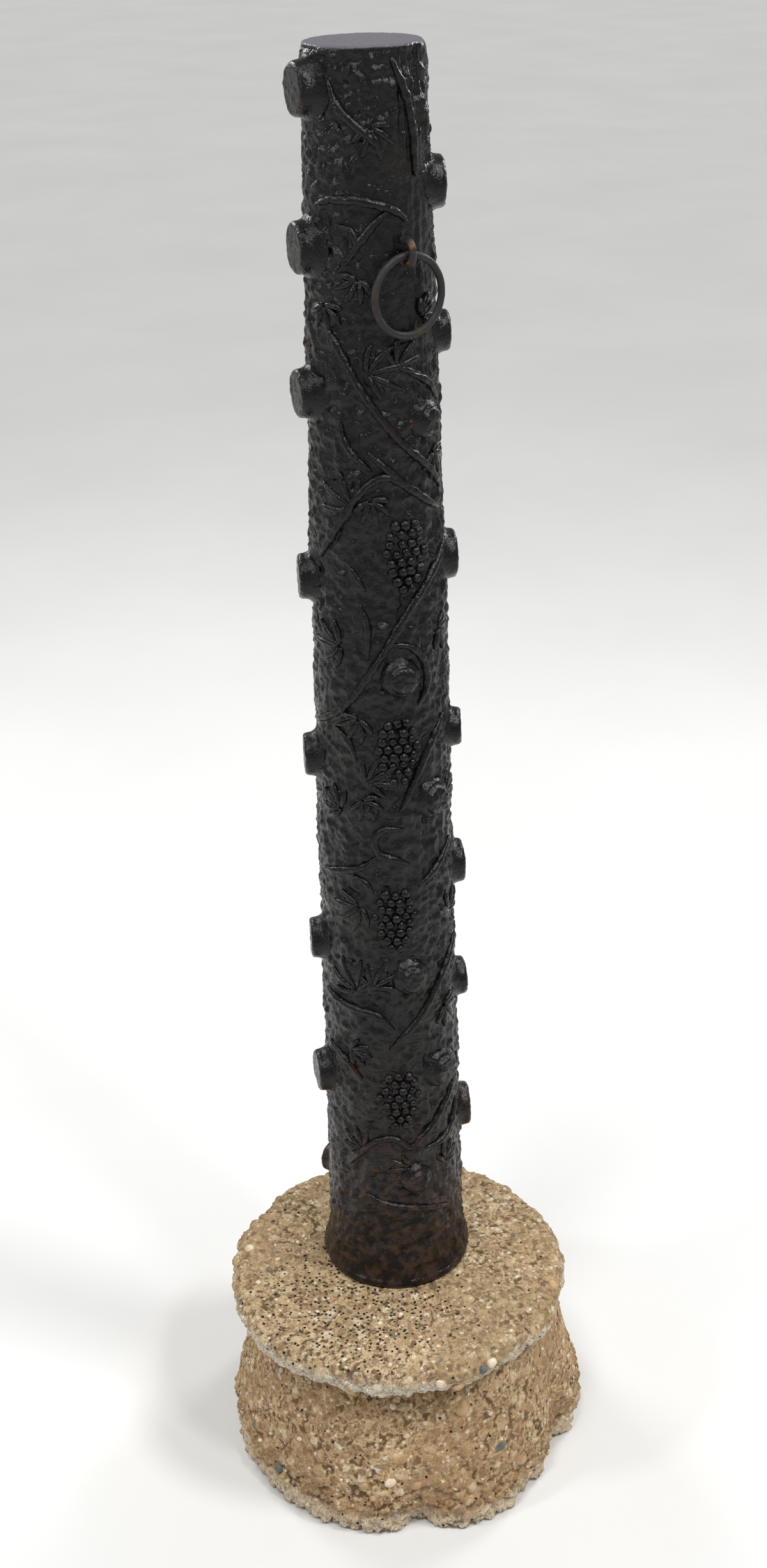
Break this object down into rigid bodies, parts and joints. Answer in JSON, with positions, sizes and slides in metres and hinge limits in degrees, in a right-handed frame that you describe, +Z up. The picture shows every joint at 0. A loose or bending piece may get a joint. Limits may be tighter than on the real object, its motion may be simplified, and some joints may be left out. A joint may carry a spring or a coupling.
{
  "type": "hitching post",
  "caption": "Cast-iron hitching post shaped like a tree trunk with sawn branch stubs and grapevines, a swinging hitching ring, and a round rough concrete footing.",
  "frame": {"origin": "on the ground under the trunk's axis, in the plane of the footing's underside", "axes": "+Z up along the trunk, -Y from the trunk towards the hitching ring, +X to the right when facing the ring"},
  "size_m": [0.392, 0.392, 1.44],
  "materials": {
    "painted_iron": "satin",
    "rusty_iron": "matte",
    "ring_iron": "satin",
    "upper_concrete": "matte",
    "lower_concrete": "matte",
    "fill_concrete": "matte",
    "bar_iron": "matte"
  },
  "bodies": {
    "post": {"post_casting": "painted_iron", "hitching_staple": "rusty_iron", "footing_slab": "upper_concrete", "footing_lump": "lower_concrete", "root_fill": "fill_concrete", "root_bar_1": "bar_iron", "root_bar_2": "bar_iron"},
    "ring": {"hitching_ring": "ring_iron"}
  },
  "joints": [
    {"name": "ring_swing", "type": "hinge", "parent": "post", "child": "ring", "pos_m": [0, -0.06047, 1.2792], "axis": [-1, 0, 0], "range_deg": [0, 180]}
  ]
}
